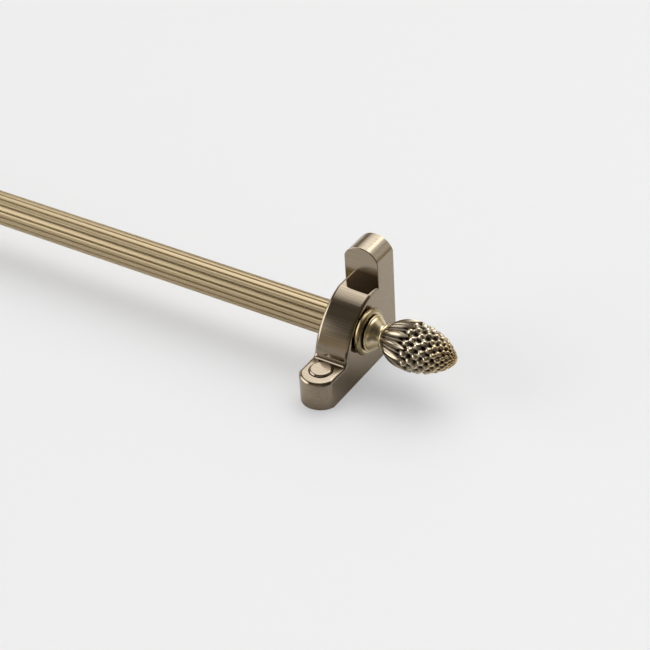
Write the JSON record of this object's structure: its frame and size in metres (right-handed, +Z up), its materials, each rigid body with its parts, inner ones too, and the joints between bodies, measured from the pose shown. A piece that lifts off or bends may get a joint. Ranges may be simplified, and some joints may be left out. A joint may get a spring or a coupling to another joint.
{
  "type": "stair carpet rod",
  "caption": "Reeded metal rod held low above a stair's tread by corner brackets, with pineapple finials, to hold a carpet runner in the corner of a step.",
  "frame": {"origin": "on the tread, under the middle of the whole part", "axes": "+X along the rod, +Y towards the riser, +Z up"},
  "size_m": [0.7958, 0.0468, 0.0446],
  "materials": {
    "rod_brass": "satin antique brass",
    "bracket_brass": "brushed antique brass",
    "finial_brass": "antique brass with dark recesses",
    "plug_brass": "plain turned brass",
    "stud_steel": "zinc plated"
  },
  "bodies": {
    "bracket_right": {"bracket_right": "bracket_brass", "screw_cap_right": "bracket_brass"},
    "bracket_left": {"bracket_left": "bracket_brass", "screw_cap_left": "bracket_brass"},
    "rod": {"rod_tube": "rod_brass", "end_plug_right": "plug_brass", "end_plug_left": "plug_brass"},
    "finial_right": {"finial_right": "finial_brass", "finial_stud_right": "stud_steel"},
    "finial_left": {"finial_left": "finial_brass", "finial_stud_left": "stud_steel"}
  },
  "joints": [
    {"name": "rod_turn", "type": "hinge", "parent": "bracket_right", "child": "rod", "pos_m": [0, 0.00325, 0.0185], "axis": [1, 0, 0], "continuous": true},
    {"name": "bracket_slide", "type": "slide", "parent": "bracket_right", "child": "bracket_left", "axis": [1, 0, 0], "range_m": [0, 0.695]},
    {"name": "finial_right_turn", "type": "hinge", "parent": "rod", "child": "finial_right", "pos_m": [0.362, 0.00325, 0.0185], "axis": [1, 0, 0], "continuous": true},
    {"name": "finial_left_turn", "type": "hinge", "parent": "rod", "child": "finial_left", "pos_m": [-0.362, 0.00325, 0.0185], "axis": [-1, 0, 0], "continuous": true}
  ]
}
